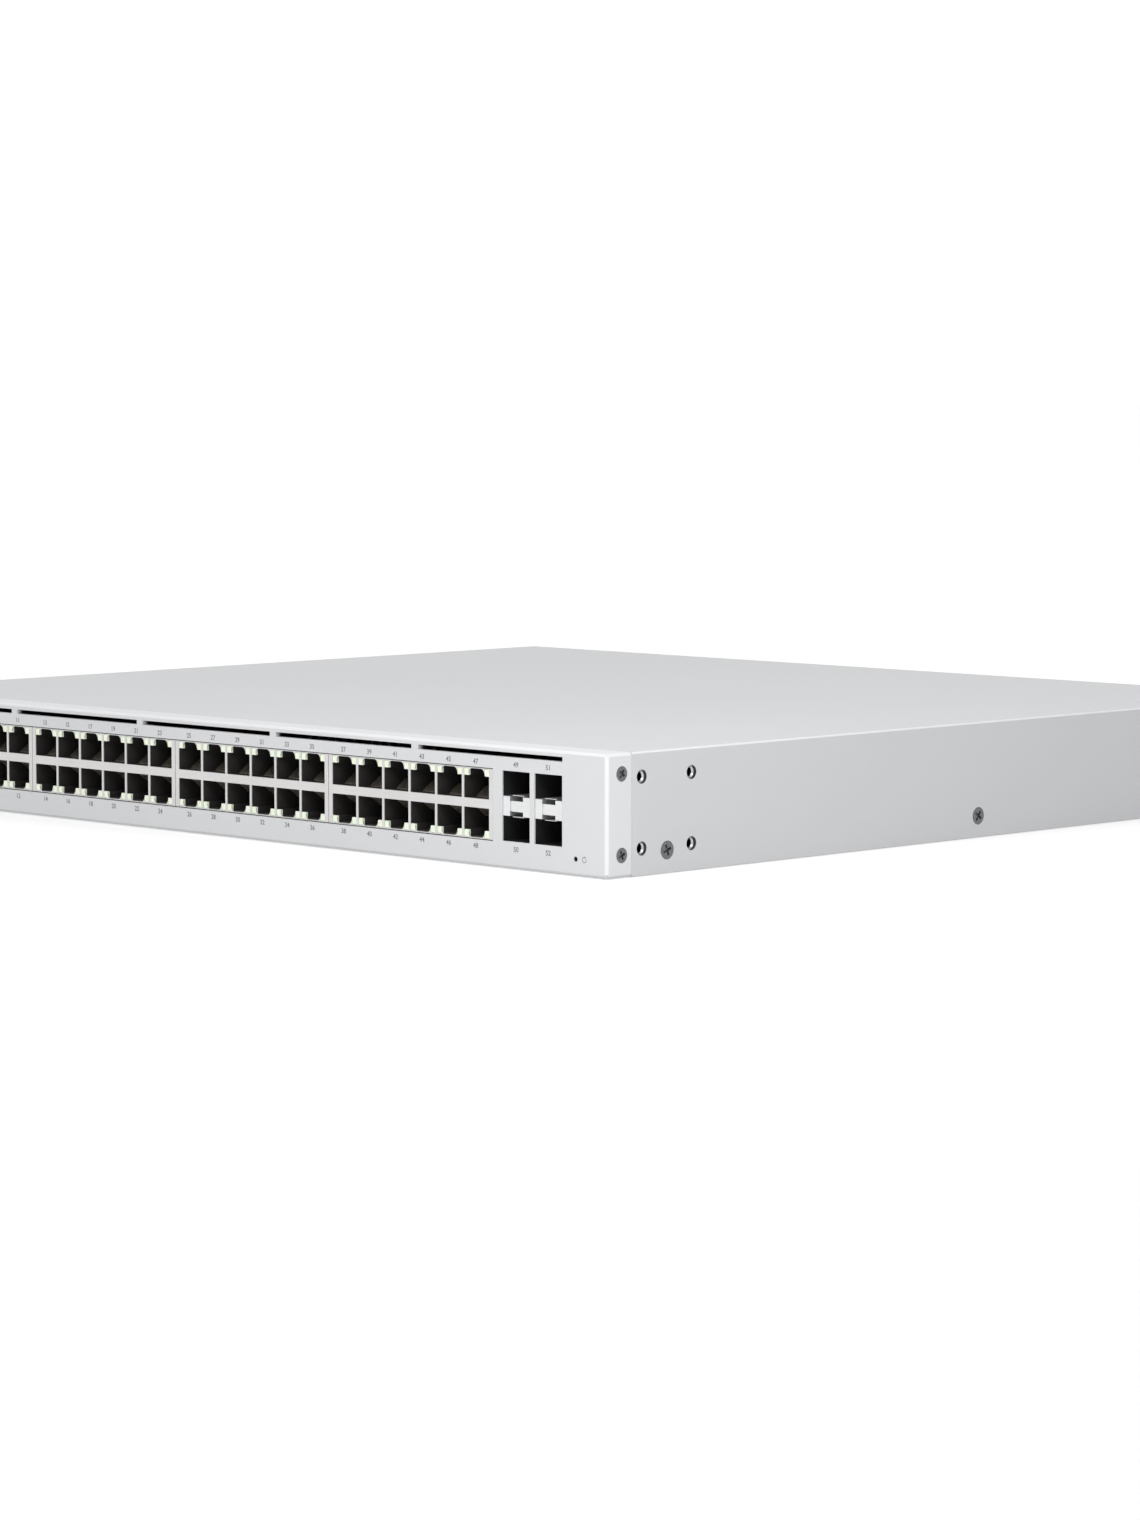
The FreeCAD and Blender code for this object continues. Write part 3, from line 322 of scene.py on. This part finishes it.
def make_materials():
    """Material slot in the record to material."""
    return {
        "bezel_paint": powder_coat("bezel_paint", (0.685, 0.692, 0.702), 0.46,
                                   hole_shade_mask=pinhole_shade),
        # the cover's bends get a stronger painted highlight
        "cover_paint": powder_coat("cover_paint", (0.590, 0.595, 0.605), 0.50, 1.45,
                                   ear_hole_shade),
        "sheet_steel": powder_coat("sheet_steel", (0.575, 0.58, 0.59), 0.50),
        "grille_steel": powder_coat("grille_steel", (0.48, 0.485, 0.495), 0.48),
        "dark_screw": surface("dark_screw", (0.17, 0.172, 0.177), 0.40, 0.7, grain=2600.0),
        "zinc_steel": surface("zinc_steel", (0.66, 0.67, 0.68), 0.38, 0.75, grain=1800.0,
                              painted_shade=nut_thread_shade),
        "jack_shell": surface("jack_shell", (0.70, 0.69, 0.685), 0.42, 0.45, patch=60.0,
                              grain=1300.0, stretch=(0.15, 1, 1)),
        "black_plastic": surface("black_plastic", (0.034, 0.031, 0.030), 0.55, grain=2200.0),
        "light_guide": light_guide("light_guide"),
        "contact_gold": surface("contact_gold", (0.52, 0.46, 0.38), 0.40, 0.9, grain=1500.0,
                                stretch=(1, 0.1, 1)),
        "sfp_steel": surface("sfp_steel", (0.78, 0.785, 0.785), 0.34, 0.8, patch=80.0,
                             grain=1500.0, stretch=(0.2, 1, 1)),
        # painted shade: the cage steel is near black because its inside lies in shadow
        "cage_steel": surface("cage_steel", (0.018, 0.018, 0.019), 0.5, grain=1500.0),
        "display_black": display_glass("display_black"),
        "button_grey": surface("button_grey", (0.42, 0.43, 0.44), 0.5),
        "board_laminate": circuit_board("board_laminate", (0.012, 0.07, 0.035),
                                        (0.02, 0.13, 0.06)),
        "insulator_film": surface("insulator_film", (0.035, 0.035, 0.035), 0.35),
        "chip_epoxy": surface("chip_epoxy", (0.03, 0.03, 0.033), 0.5, grain=1200.0),
        "heatsink_alu": surface("heatsink_alu", (0.62, 0.63, 0.64), 0.35, 1.0,
                                grain=1500.0, stretch=(1, 0.05, 1)),
        "capacitor_can": surface("capacitor_can", (0.02, 0.025, 0.06), 0.25, grain=500.0),
        "ferrite": surface("ferrite", (0.05, 0.05, 0.052), 0.6, patch=200.0),
        "winding_tape": striped("winding_tape", (0.80, 0.60, 0.08), (0.62, 0.42, 0.04),
                                "Z", 3.0 * MM, 0.3),
        "fan_plastic": surface("fan_plastic", (0.025, 0.025, 0.027), 0.42, grain=1400.0),
        "copper": striped("copper", (0.75, 0.36, 0.18), (0.38, 0.15, 0.07), "Y", 0.5 * MM,
                          0.35, 1.0),
        "lead_jacket": surface("lead_jacket", (0.03, 0.03, 0.032), 0.35),
        "pin_nickel": surface("pin_nickel", (0.78, 0.75, 0.70), 0.22, 1.0, grain=1200.0,
                              stretch=(1, 0.1, 1)),
    }


def dress_nodes(materials):
    slots = {part["node"]: part["material_slot"] for part in frame["record"]["subparts"]}
    for name, piece in nodes.items():
        piece.data.materials.clear()
        piece.data.materials.append(materials[slots[name]])


# Printed marks

MARK_THICK = 0.04 * MM
LABEL_HEIGHT = 1.9 * MM
LABEL_WEIGHT = 0.05 * MM                      # added all round each stroke
FONT_SIZE_PER_HEIGHT = 1.37                   # font size for digits of a given height
UPPER_LABEL_Z = 37.4 * MM
LOWER_LABEL_Z = 7.1 * MM
GANGS = 4
COLUMNS = 6
PORT_PITCH = 14.1 * MM
SFP_PITCH = 16.3 * MM


def flat_mesh(curve, x, z, rear=False):
    """A flat curve object's mesh, laid on the front face or on the rear panel."""
    curve.extrude = MARK_THICK / 2
    holder = bpy.data.objects.new("mark", curve)
    bpy.context.scene.collection.objects.link(holder)
    bpy.context.view_layer.update()
    mesh = bpy.data.meshes.new_from_object(holder.evaluated_get(
        bpy.context.evaluated_depsgraph_get()))
    bpy.data.objects.remove(holder)
    for vertex in mesh.vertices:
        a, b, c = vertex.co
        vertex.co = (x - a, REAR_Y + c, z + b) if rear else (x + a, FACE_Y - c, z + b)
    return mesh


def text_mesh(words, x, z):
    curve = bpy.data.curves.new("mark", "FONT")
    curve.body = words
    curve.size = LABEL_HEIGHT * FONT_SIZE_PER_HEIGHT
    curve.offset = LABEL_WEIGHT
    curve.align_x = "CENTER"
    curve.align_y = "CENTER"
    curve.resolution_u = 3
    return flat_mesh(curve, x, z)


def outline_mesh(outlines, x, z, rear=False):
    """Filled flat shape from closed outlines in metres."""
    curve = bpy.data.curves.new("mark", "CURVE")
    curve.dimensions = "2D"
    curve.fill_mode = "BOTH"
    for outline in outlines:
        spline = curve.splines.new("POLY")
        spline.points.add(len(outline) - 1)
        for target, (a, b) in zip(spline.points, outline):
            target.co = (a, b, 0, 1)
        spline.use_cyclic_u = True
    return flat_mesh(curve, x, z, rear)


def joined(name, meshes, material):
    vertices, faces = [], []
    for mesh in meshes:
        start = len(vertices)
        vertices += [tuple(v.co) for v in mesh.vertices]
        faces += [[start + i for i in polygon.vertices] for polygon in mesh.polygons]
        bpy.data.meshes.remove(mesh)
    data = bpy.data.meshes.new(name)
    data.from_pydata(vertices, [], faces)
    data.materials.append(material)
    piece = bpy.data.objects.new(name, data)
    bpy.context.scene.collection.objects.link(piece)
    return piece


def make_port_numbers(ink):
    """Odd numbers above and even numbers below each column of ports, from the left."""
    meshes = []
    columns = []
    for k in range(GANGS):
        low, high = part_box("jack_shield_%d" % (k + 1))
        centre = (low[0] + high[0]) / 2
        columns += [centre + (i - (COLUMNS - 1) / 2) * PORT_PITCH for i in range(COLUMNS)]
    low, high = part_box("sfp_divider")
    columns += [(low[0] + high[0]) / 2 + side * SFP_PITCH / 2 for side in (-1, 1)]
    for number, x in enumerate(columns):
        meshes.append(text_mesh(str(2 * number + 1), x, UPPER_LABEL_Z))
        meshes.append(text_mesh(str(2 * number + 2), x, LOWER_LABEL_Z))
    piece = joined("port_numbers", meshes, ink)
    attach(piece, "chassis")


def turn_arrow(radius, width):
    """Outlines of a round arrow that is open at its upper right."""
    start, stop, steps = math.radians(75), math.radians(375), 28
    angles = [start + (stop - start) * i / steps for i in range(steps + 1)]
    ring = [((radius + width / 2) * math.cos(a), (radius + width / 2) * math.sin(a)) for a in angles]
    ring += [((radius - width / 2) * math.cos(a), (radius - width / 2) * math.sin(a))
             for a in reversed(angles)]
    across, along = width * 1.7, width * 2.6
    overlap = 0.1 * width                     # of the arrow's head on the ring
    c, s = math.cos(start), math.sin(start)
    head = [((radius + across) * c - overlap * s, (radius + across) * s + overlap * c),
            (radius * c + along * s, radius * s - along * c),
            ((radius - across) * c - overlap * s, (radius - across) * s + overlap * c)]
    return [ring, head]


def earth_outlines(size):
    """Outlines of the earth sign: an upright stroke over three shorter and shorter bars."""
    stroke = size * 0.09
    bars = [(size * 0.5, 0.0), (size * 0.32, -size * 0.22), (size * 0.14, -size * 0.44)]
    outlines = [[(-stroke / 2, stroke / 2), (stroke / 2, stroke / 2),
                 (stroke / 2, size * 0.5), (-stroke / 2, size * 0.5)]]
    for half, z in bars:
        outlines.append([(-half, z - stroke / 2), (half, z - stroke / 2),
                         (half, z + stroke / 2), (-half, z + stroke / 2)])
    return outlines


def make_signs(ink):
    low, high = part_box("reset_plunger")
    x, z = (low[0] + high[0]) / 2 + 4.2 * MM, (low[2] + high[2]) / 2
    reset = joined("reset_sign", [outline_mesh([part], x, z)
                                  for part in turn_arrow(0.95 * MM, 0.26 * MM)], ink)
    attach(reset, "chassis")
    low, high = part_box("ground_screw")
    x, z = (low[0] + high[0]) / 2, high[2] + 6.0 * MM
    earth = joined("earth_sign", [outline_mesh([part], x, z, True)
                                  for part in earth_outlines(6.5 * MM)], ink)
    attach(earth, "chassis")


# Stage, lights and camera

CAMERA_AZIMUTH = math.radians(44.96)
CAMERA_TILT = math.radians(5.047)
CAMERA_FROM_FACE = Vector((1344.254, -1142.812, 183.559)) * MM
LENS = 109.33


def make_camera():
    data = bpy.data.cameras.new("camera")
    data.lens = LENS
    data.sensor_width = 36.0
    data.clip_end = 50.0
    camera = bpy.data.objects.new("camera", data)
    camera.location = CAMERA_FROM_FACE + Vector((0, FACE_Y, 0))
    camera.rotation_euler = (math.pi / 2 - CAMERA_TILT, 0, CAMERA_AZIMUTH)
    bpy.context.scene.collection.objects.link(camera)
    bpy.context.scene.camera = camera


FLOOR_GLOW = 0.34
WORLD_LEVEL = 0.61
WORLD_SLOPE = 0.66
WORLD_BRIGHTEST = (-0.71, 0.41, 0.57)         # direction in which the studio is brightest
SOFTBOX_POWER = 0.62
SOFTBOX_SPREAD = math.radians(85)
SOFTBOX_SIZE = (0.45, 0.35)
SOFTBOX_FROM_CORNER = Vector((0.44, -0.36, 0.46))
MID_HEIGHT = 0.022
FLOOR_HALF = 12.0
FLOOR_DROP = 0.2 * MM                         # just below the case, so that the faces don't meet


def make_floor():
    material = surface("floor", (0.80, 0.80, 0.80), 0.9, grain=300.0, variation=0.005,
                       constants={"Emission Color": (1, 1, 1, 1), "Emission Strength": FLOOR_GLOW,
                                  "Specular IOR Level": 0.0})
    mesh = bpy.data.meshes.new("floor")
    corners = [(x * FLOOR_HALF, y * FLOOR_HALF, -FLOOR_DROP)
               for x, y in ((-1, -1), (1, -1), (1, 1), (-1, 1))]
    mesh.from_pydata(corners, [], [(0, 1, 2, 3)])
    mesh.materials.append(material)
    floor = bpy.data.objects.new("floor", mesh)
    bpy.context.scene.collection.objects.link(floor)


def area_light(name, place, target, size, power, spread):
    data = bpy.data.lights.new(name, "AREA")
    data.spread = spread
    data.shape = "RECTANGLE"
    data.size, data.size_y = size
    data.energy = power
    light = bpy.data.objects.new(name, data)
    light.location = place
    light.rotation_euler = (Vector(target) - Vector(place)).to_track_quat("-Z", "Y").to_euler()
    bpy.context.scene.collection.objects.link(light)


def make_lights():
    """A bright studio behind and above, and one softbox near the front right corner."""
    world = bpy.data.worlds.new("studio")
    bpy.context.scene.world = world
    world.use_nodes = True
    g = Graph(world.node_tree)
    direction = g.add("ShaderNodeTexCoord").outputs["Generated"]
    towards = g.add("ShaderNodeVectorMath", {0: direction, 1: WORLD_BRIGHTEST},
                    operation="DOT_PRODUCT").outputs["Value"]
    strength = g.remap(towards, WORLD_LEVEL - WORLD_SLOPE, WORLD_LEVEL + WORLD_SLOPE, -1.0, 1.0)
    background = g.add("ShaderNodeBackground", {"Color": (1, 1, 1, 1), "Strength": strength})
    g.add("ShaderNodeOutputWorld", {"Surface": background.outputs[0]})
    corner = Vector((HALF_WIDTH, FACE_Y, MID_HEIGHT))
    area_light("corner_softbox", corner + SOFTBOX_FROM_CORNER, corner, SOFTBOX_SIZE,
               SOFTBOX_POWER, SOFTBOX_SPREAD)


def make_view():
    scene = bpy.context.scene
    scene.view_settings.view_transform = "Standard"
    scene.view_settings.look = "None"


make_camera()
make_floor()
make_lights()
make_view()
finishes = make_materials()
dress_nodes(finishes)
label_ink = surface("label_ink", (0.20, 0.205, 0.215), 0.6)
make_port_numbers(label_ink)
make_signs(label_ink)
